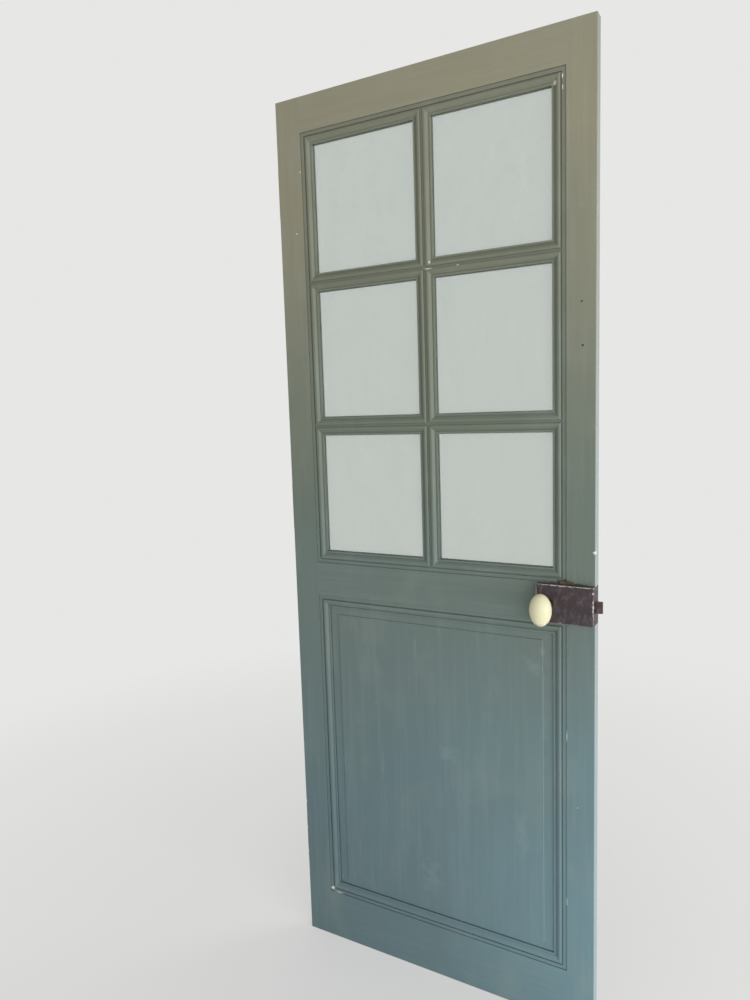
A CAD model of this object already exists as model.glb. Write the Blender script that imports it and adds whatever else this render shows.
import math

import bmesh
import bpy
from mathutils import Matrix, Vector


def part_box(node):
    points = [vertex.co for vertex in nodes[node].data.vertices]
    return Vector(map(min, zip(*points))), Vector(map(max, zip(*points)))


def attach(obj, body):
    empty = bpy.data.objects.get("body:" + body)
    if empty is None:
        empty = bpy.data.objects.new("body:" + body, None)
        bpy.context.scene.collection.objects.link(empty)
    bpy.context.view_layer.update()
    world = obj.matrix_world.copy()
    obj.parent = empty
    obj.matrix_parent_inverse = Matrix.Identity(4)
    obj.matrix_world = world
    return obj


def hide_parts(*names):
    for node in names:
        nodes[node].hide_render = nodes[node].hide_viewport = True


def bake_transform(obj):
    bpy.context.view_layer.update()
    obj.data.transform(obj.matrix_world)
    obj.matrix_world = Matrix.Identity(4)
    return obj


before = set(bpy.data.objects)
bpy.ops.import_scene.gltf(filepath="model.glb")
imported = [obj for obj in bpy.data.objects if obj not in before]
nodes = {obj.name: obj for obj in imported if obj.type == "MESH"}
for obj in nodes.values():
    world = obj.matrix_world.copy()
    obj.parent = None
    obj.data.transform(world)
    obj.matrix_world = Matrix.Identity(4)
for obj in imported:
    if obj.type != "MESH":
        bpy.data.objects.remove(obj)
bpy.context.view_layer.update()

# The two stiles and the three rails: the door's outer frame, of planed softwood under several
# coats of grey-green oil paint. They are mortised, tenoned and pegged, and the mouldings are
# stuck on their edges and mitred at the corners. The paint is brushed along each member.


def tone(red, green, blue):
    """A colour read as 8-bit screen values, as the linear colour that a shader takes."""
    linear = []
    for value in (red, green, blue):
        share = value / 255
        linear.append(share / 12.92 if share < 0.04 else ((share + 0.055) / 1.055) ** 2.4)
    return (*linear, 1.0)


def new_finish(name, roughness, metallic=0.0):
    """A finish with its shader and its place on the door, in metres."""
    finish = bpy.data.materials.new(name)
    finish.use_nodes = True
    shader = finish.node_tree.nodes["Principled BSDF"]
    shader.inputs["Roughness"].default_value = roughness
    shader.inputs["Metallic"].default_value = metallic
    place = finish.node_tree.nodes.new("ShaderNodeTexCoord").outputs["Object"]
    return finish, shader, place


def link(finish, source, socket):
    """Feed a socket from another node, or set it where the source is a plain value."""
    if isinstance(source, bpy.types.NodeSocket):
        finish.node_tree.links.new(source, socket)
    else:
        socket.default_value = source


def stretched(finish, place, scale):
    """The place on the door, squeezed or drawn out along each axis."""
    node = finish.node_tree.nodes.new("ShaderNodeMapping")
    link(finish, place, node.inputs["Vector"])
    node.inputs["Scale"].default_value = scale
    return node.outputs["Vector"]


def mottle(finish, place, scale, detail=4.0, roughness=0.55):
    """Soft uneven patches, so many to the metre, as values about one half."""
    node = finish.node_tree.nodes.new("ShaderNodeTexNoise")
    link(finish, place, node.inputs["Vector"])
    node.inputs["Scale"].default_value = scale
    node.inputs["Detail"].default_value = detail
    node.inputs["Roughness"].default_value = roughness
    return node.outputs["Fac"]


def between(finish, value, low, high, start=0.0, end=1.0):
    """A value run from one range into another, and held at the ends."""
    node = finish.node_tree.nodes.new("ShaderNodeMapRange")
    link(finish, value, node.inputs["Value"])
    node.inputs["From Min"].default_value = low
    node.inputs["From Max"].default_value = high
    node.inputs["To Min"].default_value = start
    node.inputs["To Max"].default_value = end
    return node.outputs["Result"]


def reckon(finish, operation, first, second):
    """One step of arithmetic on two values."""
    node = finish.node_tree.nodes.new("ShaderNodeMath")
    node.operation = operation
    link(finish, first, node.inputs[0])
    link(finish, second, node.inputs[1])
    return node.outputs["Value"]


def times(finish, first, second):
    """Two values multiplied, as for a mask at half strength or for where two masks meet."""
    return reckon(finish, "MULTIPLY", first, second)


def sway(finish, patches, least, most):
    """Uneven patches, run from the range that most of them fill into another."""
    return between(finish, patches, 0.3, 0.7, least, most)


def over(finish, share, under, top):
    """One colour laid over another, as thickly as its share."""
    share_socket, under_socket, top_socket, mixed_socket = 0, 6, 7, 2
    node = finish.node_tree.nodes.new("ShaderNodeMix")
    node.data_type = "RGBA"
    link(finish, share, node.inputs[share_socket])
    link(finish, under, node.inputs[under_socket])
    link(finish, top, node.inputs[top_socket])
    return node.outputs[mixed_socket]


def arris_wear(finish, radius):
    """How near a point is to a sharp outer or inner edge, from 0 on a flat to about 1."""
    worn_turn = 0.78
    bevel = finish.node_tree.nodes.new("ShaderNodeBevel")
    bevel.samples = 6
    bevel.inputs["Radius"].default_value = radius
    geometry = finish.node_tree.nodes.new("ShaderNodeNewGeometry")
    turn = finish.node_tree.nodes.new("ShaderNodeVectorMath")
    turn.operation = "DOT_PRODUCT"
    link(finish, bevel.outputs["Normal"], turn.inputs[0])
    link(finish, geometry.outputs["Normal"], turn.inputs[1])
    return between(finish, turn.outputs["Value"], 1.0, worn_turn)


def hollow(finish, reach, start=0.72):
    """How deep a point lies in a groove or corner: 0 where at least the starting share of what is
    within reach is open, and 1 where shut_off less is."""
    shut_off = 0.48
    shade = finish.node_tree.nodes.new("ShaderNodeAmbientOcclusion")
    shade.samples = 8
    shade.inputs["Distance"].default_value = reach
    return between(finish, shade.outputs["AO"], start, start - shut_off)


def spots_at(finish, place, spots, level, depth, ragged, core):
    """How far inside any of the spots a point lies. Each spot has its place across and up, its half
    width and half height, and all lie at one level and are as deep; the core is the share of a spot
    that is fully marked."""
    mask = 0.0
    for across, up, half_width, half_height in spots:
        away = finish.node_tree.nodes.new("ShaderNodeVectorMath")
        away.operation = "SUBTRACT"
        link(finish, place, away.inputs[0])
        away.inputs[1].default_value = (across, level, up)
        drawn = finish.node_tree.nodes.new("ShaderNodeVectorMath")
        drawn.operation = "MULTIPLY"
        link(finish, away.outputs["Vector"], drawn.inputs[0])
        drawn.inputs[1].default_value = (1 / half_width, 1 / depth, 1 / half_height)
        span = finish.node_tree.nodes.new("ShaderNodeVectorMath")
        span.operation = "LENGTH"
        link(finish, drawn.outputs["Vector"], span.inputs[0])
        broken = reckon(finish, "ADD", span.outputs["Value"], ragged)
        mask = reckon(finish, "MAXIMUM", mask, between(finish, broken, 1.0, core))
    return mask


def relief(finish, shader, height, depth, softening):
    """Raise the surface by a height pattern, over arrises softened by paint or wear."""
    bump = finish.node_tree.nodes.new("ShaderNodeBump")
    bump.inputs["Distance"].default_value = depth
    link(finish, height, bump.inputs["Height"])
    round_off = finish.node_tree.nodes.new("ShaderNodeBevel")
    round_off.samples = 4
    round_off.inputs["Radius"].default_value = softening
    link(finish, round_off.outputs["Normal"], bump.inputs["Normal"])
    link(finish, bump.outputs["Normal"], shader.inputs["Normal"])


front_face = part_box("hinge_stile")[0].y
hinge_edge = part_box("hinge_stile")[0].x
lock_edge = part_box("lock_stile")[1].x
case_low, case_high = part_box("latch_plate")
case_middle = (case_low.x + case_high.x) / 2

# Where the paint is chipped, rubbed, nailed or soiled. Each mark has its place across the door, its
# height, its half width and its half height, and reaches as far into the mouldings as mark_depth.
mark_depth = 0.012
corner_chips = [
    (hinge_edge + 0.3830, 1.6563, 0.0030, 0.0036),
    (hinge_edge + 0.3800, 1.6438, 0.0105, 0.0017),
    (lock_edge - 0.0801, 1.9554, 0.0038, 0.0048),
    (hinge_edge + 0.0712, 0.1296, 0.0052, 0.0050),
]
stile_chips = corner_chips + [
    (hinge_edge, 0.352, 0.0035, 0.0035),
    (hinge_edge, 0.280, 0.0030, 0.0030),
    (hinge_edge, 0.214, 0.0030, 0.0035),
    (hinge_edge + 0.062, 1.897, 0.0020, 0.0020),
    (hinge_edge + 0.046, 1.762, 0.0020, 0.0020),
    (lock_edge, 1.051, 0.0045, 0.0035),
    (lock_edge - 0.0655, 1.9640, 0.0018, 0.0055),
    (lock_edge - 0.0650, 1.9440, 0.0012, 0.0055),
    (lock_edge - 0.0580, 0.6570, 0.0012, 0.0150),
    (lock_edge - 0.0580, 0.2850, 0.0014, 0.0100),
    (lock_edge - 0.0349, 0.5040, 0.0012, 0.0014),
    (hinge_edge + 0.1005, 0.1673, 0.0016, 0.0022),
]
rail_chips = corner_chips + [
    (hinge_edge + 0.0900, 0.1226, 0.0140, 0.0012),
    (hinge_edge + 0.062, 0.989, 0.0035, 0.0030),
    (hinge_edge + 0.4474, 1.6436, 0.0034, 0.0016),
]
stile_scuffs = [
    (hinge_edge + 0.088, 0.800, 0.0025, 0.0400),
    (lock_edge - 0.130, 0.800, 0.0260, 0.0340),
    (lock_edge - 0.028, 1.726, 0.0120, 0.0060),
    (lock_edge - 0.110, 0.830, 0.0080, 0.0120),
    (lock_edge - 0.107, 0.700, 0.0050, 0.1300),
    (lock_edge - 0.1130, 0.2860, 0.0022, 0.0180),
    (lock_edge - 0.1556, 0.2450, 0.0022, 0.0160),
    (lock_edge - 0.160, 0.420, 0.0180, 0.0700),
    (hinge_edge + 0.221, 0.650, 0.0160, 0.0080),
    (hinge_edge + 0.228, 0.500, 0.0060, 0.0420),
    (hinge_edge + 0.400, 0.560, 0.0360, 0.0240),
    (hinge_edge + 0.322, 0.800, 0.0050, 0.0320),
    (hinge_edge + 0.1545, 0.2570, 0.0018, 0.0200),
    (hinge_edge + 0.350, 0.240, 0.0380, 0.0500),
]
rail_scuffs = [
    (hinge_edge + 0.2370, 0.1462, 0.0170, 0.0024),
    (hinge_edge + 0.2050, 0.1250, 0.0130, 0.0022),
    (hinge_edge + 0.4350, 0.1220, 0.0700, 0.0016),
    (hinge_edge + 0.3000, 0.1340, 0.0400, 0.0012),
]
nail_holes = [
    (lock_edge - 0.0281, 1.544, 0.0022, 0.0022),
    (lock_edge - 0.0260, 1.460, 0.0022, 0.0022),
]
case_dirt = [
    (case_middle, case_high.z, 0.064, 0.0045),
    (case_middle - 0.004, case_high.z + 0.004, 0.020, 0.0080),
    (case_middle, case_low.z, 0.060, 0.0020),
]


def faded_tones(finish, parts, height):
    """The paint's own tone: olive grey in the middle and bluer below, the flats yellowed towards the
    top and the mouldings soiled there. The foot is chalky on the lock side and dulled on the hinge
    side."""
    across = parts.outputs["X"]
    from_middle = reckon(finish, "ABSOLUTE", parts.outputs["Y"], 0.0)
    sunk = between(finish, from_middle, -front_face - 0.00005, -front_face - 0.00025)
    colour = over(finish, between(finish, height, 1.15, 0.35), tone(102, 113, 103), tone(98, 121, 127))
    yellowed = times(finish, between(finish, height, 1.15, 1.85),
                     between(finish, sunk, 0.0, 1.0, 1.0, 0.6))
    colour = over(finish, yellowed, colour, tone(141, 137, 116))
    soiled = times(finish, between(finish, height, 1.05, 1.60, 0.0, 0.24), sunk)
    colour = over(finish, soiled, colour, tone(76, 86, 62))
    chalky = times(finish, between(finish, height, 0.90, 0.15, 0.0, 0.40),
                   between(finish, across, 0.0, lock_edge))
    colour = over(finish, chalky, colour, tone(124, 163, 174))
    dulled = times(finish, between(finish, height, 0.95, 0.25, 0.0, 0.30),
                   between(finish, across, 0.05, hinge_edge))
    return over(finish, dulled, colour, tone(66, 82, 80))


def brushed_and_worn(finish, place, parts, height, strokes, colour):
    """Brush marks and blooms in the paint, grime in its hollows, and wear along the arrises and down
    the lock edge."""
    colour = over(finish, between(finish, strokes, 0.40, 0.70, 0.0, 0.12), colour, tone(86, 99, 94))
    colour = over(finish, between(finish, strokes, 0.48, 0.26, 0.0, 0.12), colour, tone(136, 147, 142))
    blooms = mottle(finish, stretched(finish, place, (9, 9, 5)), 1.0, 7.0, 0.6)
    colour = over(finish, between(finish, blooms, 0.52, 0.78, 0.0, 0.26), colour, tone(144, 153, 146))
    grime = reckon(finish, "MAXIMUM", times(finish, hollow(finish, 0.006, 0.66), 0.92),
                   times(finish, hollow(finish, 0.0022, 0.86), 0.85))
    colour = over(finish, grime, colour, tone(27, 35, 31))
    speckle = mottle(finish, place, 240, 3.0)
    wear = times(finish, arris_wear(finish, 0.0014), between(finish, speckle, 0.46, 0.62, 0.04, 0.45))
    colour = over(finish, wear, colour, tone(160, 168, 158))
    on_lock_edge = between(finish, parts.outputs["X"], lock_edge - 0.0012, lock_edge - 0.0004)
    rubbed_edge = times(finish, between(finish, height, 1.7, 1.1, 0.10, 0.55), on_lock_edge)
    return over(finish, rubbed_edge, colour, tone(168, 179, 180))


def oil_paint(name, grain, chips, scuffs, holes):
    """Old grey-green oil paint, brushed along the grain, with its scuffs, the dirt round the latch,
    chips down to the pale ground and nail holes."""
    finish, shader, place = new_finish(name, 0.45)
    shader.inputs["Specular IOR Level"].default_value = 0.35
    parts = finish.node_tree.nodes.new("ShaderNodeSeparateXYZ")
    link(finish, place, parts.inputs["Vector"])
    clouds = mottle(finish, place, 2.6, 5.0)
    height = reckon(finish, "ADD", parts.outputs["Z"], sway(finish, clouds, -0.12, 0.12))
    strokes = mottle(finish, stretched(finish, place, grain), 1.0, 3.0)
    colour = faded_tones(finish, parts, height)
    colour = brushed_and_worn(finish, place, parts, height, strokes, colour)

    ragged = sway(finish, mottle(finish, place, 420, 4.0), -0.35, 0.35)
    cloudy = sway(finish, mottle(finish, place, 110, 5.0), -0.4, 0.5)
    soft = sway(finish, mottle(finish, place, 48, 2.0), -0.45, 0.45)
    rubbed = spots_at(finish, place, scuffs, front_face, mark_depth, soft, 0.0)
    colour = over(finish, times(finish, rubbed, 0.15), colour, tone(156, 172, 170))
    dirt = spots_at(finish, place, case_dirt, front_face, mark_depth, cloudy, 0.5)
    colour = over(finish, times(finish, dirt, 0.85), colour, tone(54, 48, 38))
    bare = spots_at(finish, place, chips, front_face, mark_depth, ragged, 0.8)
    colour = over(finish, bare, colour, tone(212, 211, 198))
    dark_spots = spots_at(finish, place, holes, front_face, mark_depth, ragged, 0.8)
    colour = over(finish, dark_spots, colour, tone(48, 40, 34))
    link(finish, colour, shader.inputs["Base Color"])

    gloss_lost = reckon(finish, "ADD", sway(finish, clouds, 0.40, 0.52), times(finish, bare, 0.3))
    link(finish, gloss_lost, shader.inputs["Roughness"])
    losses = reckon(finish, "ADD", bare, dark_spots)
    film = reckon(finish, "SUBTRACT", times(finish, strokes, 0.5), losses)
    relief(finish, shader, film, 0.0004, 0.0007)
    return finish


def coat(names, finish):
    """Give carried-over solids their finish."""
    for name in names:
        slots = nodes[name].material_slots
        if not slots:
            nodes[name].data.materials.append(finish)
        for slot in slots:
            slot.material = finish


upright_grain = (90, 90, 4)
level_grain = (4, 90, 90)
upright_paint = oil_paint("upright_paint", upright_grain, stile_chips, stile_scuffs, nail_holes)
level_paint = oil_paint("level_paint", level_grain, rail_chips, rail_scuffs, [])
coat(["hinge_stile", "lock_stile"], upright_paint)
coat(["top_rail", "lock_rail", "bottom_rail"], level_paint)

# The glazing bars: one upright bar from the lock rail to the top rail and four short cross bars,
# of the same painted wood. The cross bars are mitred to the upright bar and to the stiles, and
# stub tenons hold them.
coat(["upright_bar"], upright_paint)
coat([f"cross_bar_{row}_{side}" for row in ("lower", "upper") for side in ("left", "right")],
     level_paint)

# The fielded panel: boards glued up to one panel, its grain upright, held by a tongue in grooves
# so that it can swell and shrink. It is painted as the frame is.
coat(["panel"], upright_paint)

# The pegs: cleft oak pins, driven from the front through the mortise and tenon joints of the rails.
# They are cut flush and painted over with the frame.
coat(["joint_pegs"], upright_paint)

# The panes: old drawn window glass, a little wavy, so that what lies behind it bends and its
# reflections wander. Each sheet lies loose on its shoulder and is held by sprigs and putty.
row_names = ("lower", "middle", "upper")
side_names = ("left", "right")
wave_depth = 0.00022
wave_fade = 14.0
ripples = ((17.0, 5.0, 1.0, 1.0), (-9.0, 31.0, 2.1, 0.6), (66.0, 13.0, 3.7, 0.25))


def window_glass():
    """Clear glass with a faint green cast, wiped dust and dirt left along the bars."""
    finish, shader, place = new_finish("old_glass", 0.0)
    shader.inputs["IOR"].default_value = 1.5
    smears = mottle(finish, stretched(finish, place, (30, 30, 8)), 1.0, 7.0, 0.62)
    dust = reckon(finish, "ADD", between(finish, smears, 0.45, 0.80, 0.005, 0.05),
                  times(finish, hollow(finish, 0.016), 0.30))
    colour = over(finish, dust, tone(239, 247, 243), tone(150, 150, 138))
    link(finish, colour, shader.inputs["Base Color"])
    link(finish, reckon(finish, "SUBTRACT", 1.0, dust), shader.inputs["Transmission Weight"])
    drawn_marks = mottle(finish, stretched(finish, place, (34, 34, 15)), 1.0, 2.0, 0.4)
    bump = finish.node_tree.nodes.new("ShaderNodeBump")
    bump.inputs["Distance"].default_value = 0.0006
    link(finish, drawn_marks, bump.inputs["Height"])
    link(finish, bump.outputs["Normal"], shader.inputs["Normal"])
    return finish


def wave(x, z, turn):
    """How far a sheet of drawn glass strays from flat at one point, as a sum of ripples, each with its
    pace across and up, its shift with the sheet's turn, and its share."""
    return wave_depth * sum(share * math.sin(across * x + up * z + shift * turn)
                            for across, up, shift, share in ripples)


def wavy_sheet(name, low, high, turn, steps=34):
    """A sheet of glass of one thickness, both of its faces in the same gentle waves, which fade out
    close to its four edges so that it lies flat on its shoulder."""
    grid = []
    for y in (low.y, high.y):
        for i in range(steps + 1):
            for j in range(steps + 1):
                x = low.x + (high.x - low.x) * i / steps
                z = low.z + (high.z - low.z) * j / steps
                from_edge = min(i, steps - i, j, steps - j)
                fade = min(1.0, wave_fade * from_edge / steps)
                grid.append((x, y + fade * wave(x, z, turn), z))
    side = steps + 1
    layer = side * side
    faces = []
    for i in range(steps):
        for j in range(steps):
            corner = i * side + j
            faces.append((corner, corner + side, corner + side + 1, corner + 1))
            faces.append((layer + corner, layer + corner + 1, layer + corner + side + 1,
                          layer + corner + side))
    for k in range(steps):
        faces.append((k * side, layer + k * side, layer + (k + 1) * side, (k + 1) * side))
        far = k * side + steps
        faces.append((far, far + side, layer + far + side, layer + far))
        faces.append((k, k + 1, layer + k + 1, layer + k))
        top = steps * side + k
        faces.append((top, layer + top, layer + top + 1, top + 1))
    mesh = bpy.data.meshes.new(name)
    mesh.from_pydata(grid, [], faces)
    mesh.update()
    flat_faces = 2 * steps * steps
    for face in mesh.polygons:
        face.use_smooth = face.index < flat_faces
    sheet = bpy.data.objects.new(name, mesh)
    bpy.context.scene.collection.objects.link(sheet)
    return sheet


old_glass = window_glass()
for row_number, row in enumerate(row_names):
    for side_number, side in enumerate(side_names):
        node_name = f"glass_{row}_{side}"
        low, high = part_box(node_name)
        # Each pane was cut from another part of the drawn glass.
        turn = 1.3 + 2.4 * row_number + 1.1 * side_number
        pane = wavy_sheet(f"pane_{row}_{side}", low, high, turn)
        pane.data.materials.append(old_glass)
        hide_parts(node_name)
        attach(pane, "leaf")

# The putty behind each pane: linseed putty, knifed to a slope over small iron sprigs, long gone
# hard and painted with the frame. It has shrunk and cracked a little across its length.


def painted_putty():
    """The frame's paint over putty with fine cracks."""
    finish, shader, place = new_finish("painted_putty", 0.55)
    patches = mottle(finish, place, 22, 6.0)
    colour = over(finish, patches, tone(146, 156, 150), tone(172, 178, 170))
    cells = finish.node_tree.nodes.new("ShaderNodeTexVoronoi")
    cells.feature = "DISTANCE_TO_EDGE"
    cells.inputs["Scale"].default_value = 46
    link(finish, place, cells.inputs["Vector"])
    cracks = between(finish, cells.outputs["Distance"], 0.0, 0.035, 1.0, 0.0)
    cracks = times(finish, cracks, between(finish, patches, 0.5, 0.62))
    colour = over(finish, cracks, colour, tone(74, 74, 66))
    grime = times(finish, hollow(finish, 0.006), 0.5)
    colour = over(finish, grime, colour, tone(50, 56, 48))
    link(finish, colour, shader.inputs["Base Color"])
    knife = mottle(finish, place, 130, 4.0)
    relief(finish, shader, reckon(finish, "SUBTRACT", knife, cracks), 0.0005, 0.0006)
    return finish


coat([f"putty_{row}_{side}" for row in row_names for side in side_names], painted_putty())

# The rim latch: a case of thin iron plate, its end bent over the door's edge and let in flush, a
# rim strip whose tenons are hammered over the front, and a back plate. The iron is dark with old
# paint and rust, and rubbed bright along its arrises.
worn_depth = 0.003
case_mid_height = (case_low.z + case_high.z) / 2
case_edges = [
    (case_middle, case_high.z - 0.0005, 0.066, 0.0016),
    (case_high.x - 0.0010, case_mid_height, 0.0022, 0.048),
    (case_low.x + 0.0005, case_mid_height, 0.0012, 0.044),
]


def rusty_iron(name, dark, rust, bright, rust_share, worn_lines=()):
    """Iron gone brown, with rust in patches and metal showing where it is rubbed: along every arris,
    and most along the case's worn lines, which are given as the marks in the paint are."""
    finish, shader, place = new_finish(name, 0.6)
    shader.inputs["Specular IOR Level"].default_value = 0.3
    broad = mottle(finish, place, 38, 7.0, 0.62)
    fine = mottle(finish, place, 520, 5.0, 0.6)
    bloom = reckon(finish, "ADD", broad, sway(finish, fine, -0.14, 0.14))
    colour = over(finish, between(finish, bloom, 0.62 - rust_share, 0.86 - rust_share), dark, rust)
    pits = between(finish, fine, 0.60, 0.70)
    colour = over(finish, times(finish, pits, 0.4), colour, tone(34, 28, 28))
    smears = mottle(finish, stretched(finish, place, (85, 85, 55)), 1.0, 7.0, 0.7)
    colour = over(finish, between(finish, smears, 0.50, 0.72, 0.0, 0.42), colour, tone(118, 112, 122))
    rub = times(finish, arris_wear(finish, 0.0016), between(finish, broad, 0.30, 0.52, 0.40, 1.0))
    broken = between(finish, mottle(finish, place, 170, 5.0), 0.36, 0.64, -0.5, 0.6)
    worn = spots_at(finish, place, worn_lines, case_low.y, worn_depth, broken, 0.3)
    rub = reckon(finish, "MAXIMUM", rub, worn)
    colour = over(finish, rub, colour, bright)
    link(finish, colour, shader.inputs["Base Color"])
    link(finish, times(finish, rub, 0.4), shader.inputs["Metallic"])
    link(finish, between(finish, bloom, 0.35, 0.7, 0.48, 0.72), shader.inputs["Roughness"])
    relief(finish, shader, reckon(finish, "ADD", fine, broad), 0.00035, 0.0006)
    return finish


case_iron = rusty_iron("case_iron", tone(58, 50, 53), tone(86, 66, 64), tone(190, 180, 178), 0.10,
                       case_edges)
ear_iron = rusty_iron("ear_iron", tone(74, 62, 48), tone(104, 82, 58), tone(128, 108, 88), 0.30)
bolt_iron = rusty_iron("bolt_iron", tone(50, 33, 33), tone(68, 43, 40), tone(112, 88, 84), 0.20)
coat(["latch_plate", "latch_rim", "bolt_guide", "follower"], case_iron)
coat(["latch_back_plate"], ear_iron)
coat(["latch_bolt", "spindle"], bolt_iron)

# The latch spring: one strip of blued steel, bent to a foot that stands on the rim strip, with its
# tip bearing on the end of the bolt. Its foot stays, its tip goes in with the bolt, and it bends
# between the two.
spring_levels = 14


def spring_steel():
    """Blued strip steel gone dull."""
    finish, shader, place = new_finish("spring_steel", 0.35, 0.9)
    heat = mottle(finish, place, 90, 4.0)
    link(finish, over(finish, heat, tone(84, 84, 96), tone(112, 96, 84)), shader.inputs["Base Color"])
    relief(finish, shader, mottle(finish, place, 700, 3.0), 0.0001, 0.0002)
    return finish


spring_low, spring_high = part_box("latch_spring")
strip = bmesh.new()
strip.from_mesh(nodes["latch_spring"].data)
strip.transform(nodes["latch_spring"].matrix_world)
for level in range(1, spring_levels):
    cut_z = spring_low.z + (spring_high.z - spring_low.z) * level / spring_levels
    bmesh.ops.bisect_plane(strip, geom=strip.verts[:] + strip.edges[:] + strip.faces[:],
                           plane_co=(0, 0, cut_z), plane_no=(0, 0, 1))
spring_mesh = bpy.data.meshes.new("bent_spring")
strip.to_mesh(spring_mesh)
strip.free()
spring_mesh.materials.clear()
spring_mesh.materials.append(spring_steel())
bent_spring = bpy.data.objects.new("bent_spring", spring_mesh)
bpy.context.scene.collection.objects.link(bent_spring)
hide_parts("latch_spring")
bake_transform(bent_spring)

# The screws: hand-driven iron wood screws with low domed and slotted heads in front and on the
# rose, and flush ones in the bent end of the plate and in the hinges.
slot_width = 0.0011
slot_depth = 0.0008
shank_radius = 0.0019
dome = ((1.0, 0.25), (0.86, 0.66), (0.6, 0.9), (0.3, 1.0))


def turned(name, outline, place, along, steps=40):
    """A solid turned about an axis from its outline of radius and distance along the axis."""
    form = bmesh.new()
    rings = []
    for radius, rise in outline:
        ring = []
        for k in range(steps):
            angle = 2 * math.pi * k / steps
            ring.append(form.verts.new((radius * math.cos(angle), radius * math.sin(angle), rise)))
        rings.append(ring)
    for lower, upper in zip(rings, rings[1:]):
        for k in range(steps):
            after = (k + 1) % steps
            form.faces.new((lower[k], lower[after], upper[after], upper[k]))
    form.faces.new(list(reversed(rings[0])))
    form.faces.new(rings[-1])
    mesh = bpy.data.meshes.new(name)
    form.to_mesh(mesh)
    form.free()
    swing = Vector((0, 0, 1)).rotation_difference(Vector(along)).to_matrix().to_4x4()
    mesh.transform(Matrix.Translation(place) @ swing)
    return mesh


def cut_slot(head, place, along, angle, length):
    """Cut a driver's slot across a screw's head."""
    cutter_mesh = bpy.data.meshes.new("slot_cutter")
    cube = bmesh.new()
    bmesh.ops.create_cube(cube, size=1.0)
    cube.to_mesh(cutter_mesh)
    cube.free()
    swing = Vector((0, 0, 1)).rotation_difference(Vector(along)).to_matrix().to_4x4()
    size = Matrix.Diagonal((length, slot_width, 2 * slot_depth, 1.0))
    cutter_mesh.transform(Matrix.Translation(place) @ swing @ Matrix.Rotation(angle, 4, "Z") @ size)
    cutter = bpy.data.objects.new("slot_cutter", cutter_mesh)
    bpy.context.scene.collection.objects.link(cutter)
    slot = head.modifiers.new("slot", "BOOLEAN")
    slot.operation = "DIFFERENCE"
    slot.object = cutter
    bpy.context.view_layer.update()
    cut = bpy.data.meshes.new_from_object(head.evaluated_get(bpy.context.evaluated_depsgraph_get()))
    head.modifiers.clear()
    head.data = cut
    bpy.data.objects.remove(cutter)


def slotted_screw(name, seat, along, radius, rise, grip, angle):
    """A wood screw whose domed head sits on its seat and whose shank goes into the wood."""
    outline = [(shank_radius, -grip), (shank_radius, 0.0), (radius, 0.0)]
    outline += [(share * radius, up * rise) for share, up in dome]
    mesh = turned(name, outline, seat, along)
    screw = bpy.data.objects.new(name, mesh)
    bpy.context.scene.collection.objects.link(screw)
    right_across = 3 * radius
    cut_slot(screw, Vector(seat) + rise * Vector(along), along, angle, right_across)
    return screw


def join_pieces(name, pieces, finish):
    """Like pieces as one, as the frame counts them."""
    form = bmesh.new()
    for piece in pieces:
        form.from_mesh(piece.data)
    mesh = bpy.data.meshes.new(name)
    form.to_mesh(mesh)
    form.free()
    for piece in pieces:
        bpy.data.objects.remove(piece)
    mesh.materials.append(finish)
    joined = bpy.data.objects.new(name, mesh)
    bpy.context.scene.collection.objects.link(joined)
    return joined


screw_iron = rusty_iron("screw_iron", tone(50, 44, 44), tone(72, 58, 54), tone(112, 104, 100), 0.16)
screws_low, screws_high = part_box("case_screws")
head_radius = (screws_high.x - screws_low.x) / 2
screw_x = (screws_high.x + screws_low.x) / 2
head_rise = case_low.y - screws_low.y
case_grip = screws_high.y - case_low.y
slot_angles = (0.5, 2.4)
made = []
for number, screw_z in enumerate((screws_low.z + head_radius, screws_high.z - head_radius)):
    made.append(slotted_screw(f"case_screw_{number}", (screw_x, case_low.y, screw_z), (0, -1, 0),
                              head_radius, head_rise, case_grip, slot_angles[number]))
front_screws = join_pieces("case_screws_slotted", made, screw_iron)
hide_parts("case_screws")
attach(front_screws, "leaf")

rose_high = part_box("back_rose")[1]
screws_low, screws_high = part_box("rose_screws")
screw_z = (screws_low.z + screws_high.z) / 2
head_rise = screws_high.y - rose_high.y
rose_grip = rose_high.y - screws_low.y
slot_angles = (2.2, 0.9)
made = []
for number, screw_x in enumerate((screws_low.x + head_radius, screws_high.x - head_radius)):
    made.append(slotted_screw(f"rose_screw_{number}", (screw_x, rose_high.y, screw_z), (0, 1, 0),
                              head_radius, head_rise, rose_grip, slot_angles[number]))
rear_screws = join_pieces("rose_screws_slotted", made, screw_iron)
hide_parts("rose_screws")
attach(rear_screws, "leaf")
coat(["edge_plate_screws", "hinge_screws", "glazing_sprigs", "neck_pins"], screw_iron)

# The knobs: oval, cast in white clay with an ivory glaze, crazed very finely, each cemented on the
# spigot of its neck. A square iron spindle and a pin through each neck join the two.


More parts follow.
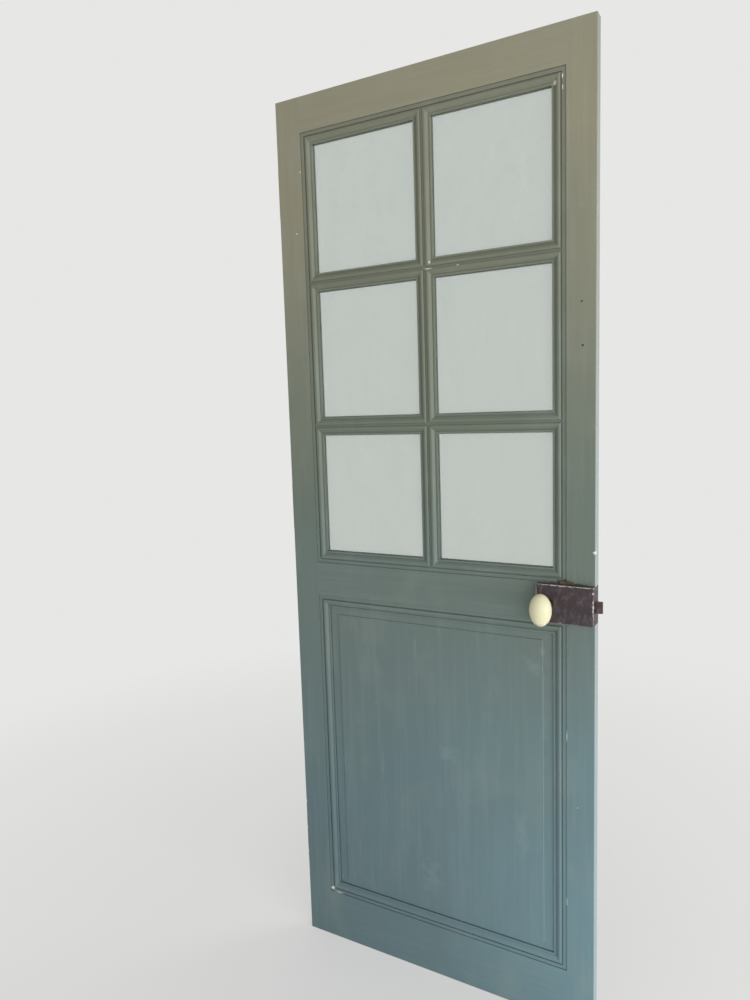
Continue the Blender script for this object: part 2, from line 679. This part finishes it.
def ivory_glaze():
    """Glossy warm white glaze with hair-fine crazing and a yellower foot."""
    finish, shader, place = new_finish("ivory_glaze", 0.30)
    shader.inputs["Specular IOR Level"].default_value = 0.28
    shader.inputs["Coat Weight"].default_value = 0.1
    shader.inputs["Coat Roughness"].default_value = 0.2
    shader.inputs["Subsurface Weight"].default_value = 0.6
    shader.inputs["Subsurface Radius"].default_value = (0.020, 0.017, 0.012)
    shader.inputs["Subsurface Scale"].default_value = 1.0
    clouds = mottle(finish, place, 55, 4.0)
    colour = over(finish, clouds, tone(220, 217, 186), tone(212, 208, 176))
    net = finish.node_tree.nodes.new("ShaderNodeTexVoronoi")
    net.feature = "DISTANCE_TO_EDGE"
    net.inputs["Scale"].default_value = 210
    link(finish, place, net.inputs["Vector"])
    crazing = between(finish, net.outputs["Distance"], 0.0, 0.03, 0.28, 0.0)
    colour = over(finish, crazing, colour, tone(176, 158, 120))
    grime = times(finish, hollow(finish, 0.01), 0.5)
    colour = over(finish, grime, colour, tone(150, 132, 96))
    link(finish, colour, shader.inputs["Base Color"])
    relief(finish, shader, clouds, 0.00015, 0.0005)
    return finish


def aged_brass():
    """Cast brass gone brown, brighter where hands rub it."""
    finish, shader, place = new_finish("aged_brass", 0.42, 0.85)
    patina = mottle(finish, place, 120, 6.0)
    colour = over(finish, between(finish, patina, 0.35, 0.7), tone(58, 47, 34), tone(92, 74, 48))
    rub = times(finish, arris_wear(finish, 0.0012), 0.6)
    colour = over(finish, rub, colour, tone(142, 120, 80))
    colour = over(finish, hollow(finish, 0.006), colour, tone(44, 34, 24))
    link(finish, colour, shader.inputs["Base Color"])
    relief(finish, shader, mottle(finish, place, 600, 4.0), 0.0001, 0.0005)
    return finish


coat(["front_knob", "back_knob"], ivory_glaze())
coat(["front_neck", "back_neck"], aged_brass())
coat(["back_rose"], case_iron)

# The butt hinges: iron leaves with five knuckles and a loose pin, one leaf let into the door's
# edge. They were painted in with the door and the paint has come off where they rub.


def hinge_iron():
    """Worn iron with the door's paint left in patches."""
    finish, shader, place = new_finish("hinge_iron", 0.5)
    patches = mottle(finish, place, 60, 7.0, 0.6)
    rusty = over(finish, mottle(finish, place, 300, 5.0), tone(74, 64, 60), tone(104, 80, 68))
    left_on = between(finish, patches, 0.47, 0.52)
    colour = over(finish, left_on, rusty, tone(110, 120, 110))
    rub = times(finish, arris_wear(finish, 0.0013), 0.7)
    colour = over(finish, rub, colour, tone(150, 144, 138))
    link(finish, colour, shader.inputs["Base Color"])
    link(finish, times(finish, rub, 0.6), shader.inputs["Metallic"])
    relief(finish, shader, reckon(finish, "ADD", patches, left_on), 0.0003, 0.0005)
    return finish


painted_hinges = hinge_iron()
for place_name in ("lower", "middle", "upper"):
    coat([f"hinge_{place_name}_{what}" for what in ("door_leaf", "frame_leaf", "pin")], painted_hinges)

# The floor: a plain pale ground under the door, which keeps its shadow and runs out into the same
# pale tone as the sky behind, so that no horizon shows. That tone is only seen, directly and in
# gloss and glass, and throws no light on the door.
floor_reach = 14.0
floor_gap = 0.0008
shadow_from, shadow_to, shadow_mix = 0.3, 2.6, 0.45
pale = (0.80, 0.80, 0.79, 1.0)
ground_tone = (0.90, 0.90, 0.89, 1.0)

floor_mesh = bpy.data.meshes.new("floor")
floor_form = bmesh.new()
bmesh.ops.create_circle(floor_form, cap_ends=True, segments=96, radius=floor_reach)
floor_form.to_mesh(floor_mesh)
floor_form.free()
floor = bpy.data.objects.new("floor", floor_mesh)
floor.location = (0, 0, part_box("bottom_rail")[0].z - floor_gap)
bpy.context.scene.collection.objects.link(floor)


def seen_directly(tree):
    """1 for what the eye sees, directly or in gloss or through glass, and 0 for the light."""
    rays = tree.nodes.new("ShaderNodeLightPath")
    seen = rays.outputs["Is Camera Ray"]
    for kind in ("Is Glossy Ray", "Is Transmission Ray"):
        either = tree.nodes.new("ShaderNodeMath")
        either.operation = "MAXIMUM"
        tree.links.new(seen, either.inputs[0])
        tree.links.new(rays.outputs[kind], either.inputs[1])
        seen = either.outputs["Value"]
    return seen


ground, ground_shader, ground_place = new_finish("pale_ground", 0.9)
ground_shader.inputs["Base Color"].default_value = ground_tone
ground_shader.inputs["Specular IOR Level"].default_value = 0.1
distance = ground.node_tree.nodes.new("ShaderNodeVectorMath")
distance.operation = "LENGTH"
link(ground, ground_place, distance.inputs[0])
far = between(ground, distance.outputs["Value"], shadow_from, shadow_to, shadow_mix, 1.0)
glow = ground.node_tree.nodes.new("ShaderNodeEmission")
glow.inputs["Color"].default_value = pale
meet = ground.node_tree.nodes.new("ShaderNodeMixShader")
link(ground, times(ground, far, seen_directly(ground.node_tree)), meet.inputs[0])
link(ground, ground_shader.outputs["BSDF"], meet.inputs[1])
link(ground, glow.outputs["Emission"], meet.inputs[2])
link(ground, meet.outputs["Shader"], ground.node_tree.nodes["Material Output"].inputs["Surface"])
floor.data.materials.append(ground)

# The light: a soft lamp low down on the right, as bright ground outside throws it, weaker broad ones
# before the door and behind it, and an even sky.
sky_light = 0.43


def soft_lamp(name, power, place, aim, width, height):
    """A rectangular lamp that faces a point."""
    data = bpy.data.lights.new(name, "AREA")
    data.shape = "RECTANGLE"
    data.size = width
    data.size_y = height
    data.energy = power
    lamp = bpy.data.objects.new(name, data)
    lamp.location = place
    lamp.rotation_euler = (Vector(aim) - Vector(place)).to_track_quat("-Z", "Y").to_euler()
    lamp.visible_camera = False
    lamp.visible_transmission = False
    bpy.context.scene.collection.objects.link(lamp)


soft_lamp("low_right", 94.0, (4.2, -1.6, 0.75), (0.0, 0.0, 0.8), 2.2, 1.4)
soft_lamp("front_right", 76.0, (2.6, -3.6, 1.6), (0.0, 0.0, 1.1), 2.6, 2.6)
soft_lamp("rear_right", 64.0, (3.3, 3.5, 2.2), (0.0, 0.0, 1.1), 2.4, 2.4)

sky = bpy.data.worlds.new("pale_sky")
sky.use_nodes = True
tree = sky.node_tree
backdrop = tree.nodes["Background"]
backdrop.inputs["Color"].default_value = pale
strength = tree.nodes.new("ShaderNodeMapRange")
strength.inputs["To Min"].default_value = sky_light / pale[0]
strength.inputs["To Max"].default_value = 1.0
tree.links.new(seen_directly(tree), strength.inputs["Value"])
tree.links.new(strength.outputs["Result"], backdrop.inputs["Strength"])
bpy.context.scene.world = sky

# The camera: at standing eye height before the door's lock side, looking a little down and to the
# left, as in the photograph.
image_width = 750
image_height = 1000
focal_pixels = 737.7
sensor_width = 36.0
eye = Vector((0.6979, -1.4860, 1.3438))
yaw = 0.5143
pitch = 0.1186
roll = -0.0318

ahead = Vector((-math.sin(yaw) * math.cos(pitch), math.cos(yaw) * math.cos(pitch), -math.sin(pitch)))
level_right = Vector((math.cos(yaw), math.sin(yaw), 0.0))
level_up = level_right.cross(ahead)
right = math.cos(roll) * level_right + math.sin(roll) * level_up
up = -math.sin(roll) * level_right + math.cos(roll) * level_up
turned_to = Matrix((right, up, -ahead)).transposed().to_4x4()

camera_data = bpy.data.cameras.new("camera")
camera_data.sensor_width = sensor_width
camera_data.lens = sensor_width * focal_pixels / max(image_width, image_height)
camera_data.clip_start = 0.01
camera = bpy.data.objects.new("camera", camera_data)
camera.matrix_world = Matrix.Translation(eye) @ turned_to
bpy.context.scene.collection.objects.link(camera)
bpy.context.scene.camera = camera
bpy.context.scene.view_settings.view_transform = "Standard"
